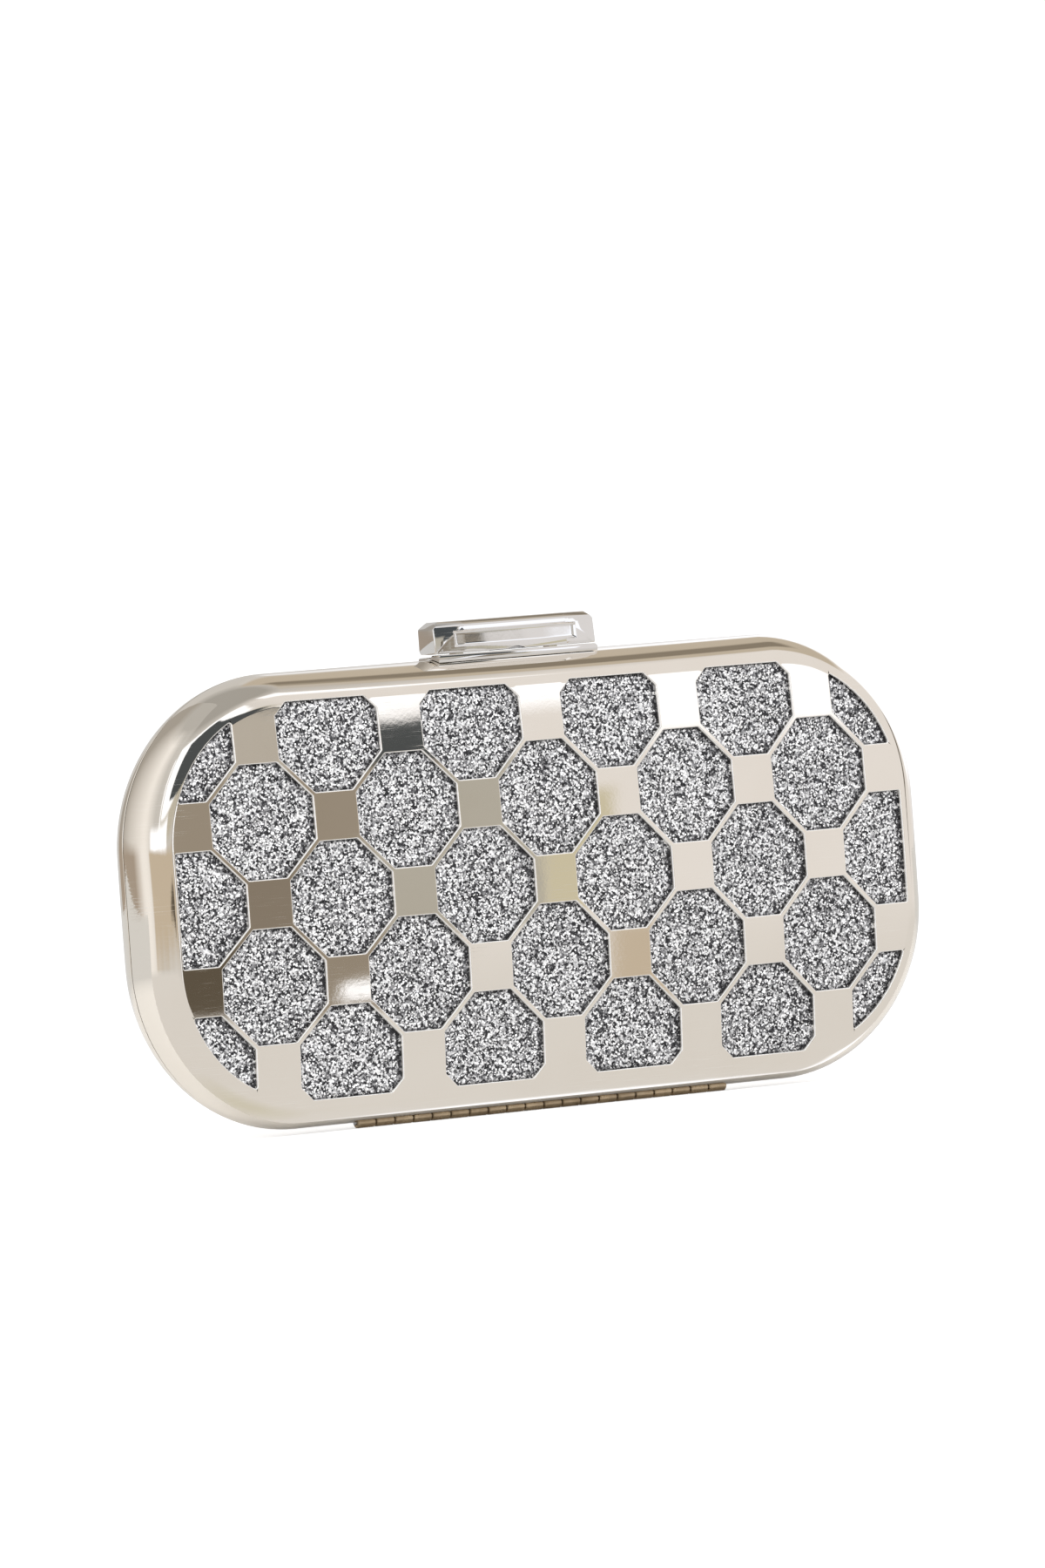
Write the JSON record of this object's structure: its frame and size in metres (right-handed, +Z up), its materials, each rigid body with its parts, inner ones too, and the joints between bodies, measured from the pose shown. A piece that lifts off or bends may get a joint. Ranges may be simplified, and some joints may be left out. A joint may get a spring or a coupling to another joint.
{
  "type": "evening bag",
  "caption": "Hard-case evening bag: two domed, pierced metal shells over glitter cloth, with a piano hinge underneath and a lifting bar clasp on top.",
  "frame": {"origin": "under the middle of the hinge, in the plane of the seam, at the lowest point of the bag", "axes": "+X to the right across the bag as seen from the front, -Y towards the front, +Z up to the clasp"},
  "size_m": [0.2, 0.0266, 0.1079],
  "materials": {
    "shell_metal": "mirror-polished pale champagne-gold plate",
    "glitter": "silver glitter cloth",
    "board": "grey board",
    "satin": "champagne satin over thin wadding",
    "hinge_metal": "plated, duller than the shells",
    "clasp_metal": "polished pale plate",
    "steel": "bright"
  },
  "bodies": {
    "rear_half": {"rear_shell": "shell_metal", "rear_glitter_cloth": "glitter", "rear_backing_board": "board", "rear_lining": "satin", "rear_mouth_band": "shell_metal", "rear_hinge_leaf": "hinge_metal", "rear_clasp_screw_left": "steel", "rear_clasp_screw_right": "steel", "hinge_pin": "steel", "clasp_bracket": "clasp_metal", "clasp_pin": "steel", "clasp_spring": "steel"},
    "front_half": {"front_shell": "shell_metal", "front_glitter_cloth": "glitter", "front_backing_board": "board", "front_lining": "satin", "front_mouth_band": "shell_metal", "front_hinge_leaf": "hinge_metal", "front_clasp_screw_left": "steel", "front_clasp_screw_right": "steel", "clasp_catch": "clasp_metal"},
    "clasp_lever": {"clasp_bar": "clasp_metal", "clasp_tongue": "steel", "clasp_rivet_left": "steel", "clasp_rivet_right": "steel"}
  },
  "joints": [
    {"name": "case_hinge", "type": "hinge", "parent": "rear_half", "child": "front_half", "pos_m": [0, 0, 0.0012], "axis": [1, 0, 0], "range_deg": [0, 90]},
    {"name": "clasp_lift", "type": "hinge", "parent": "rear_half", "child": "clasp_lever", "pos_m": [0, 0.0022, 0.1022], "axis": [-1, 0, 0], "range_deg": [0, 35], "stiffness_Nm_per_rad": 0.01, "springref_deg": -20.05, "deforming": ["clasp_spring"]}
  ]
}
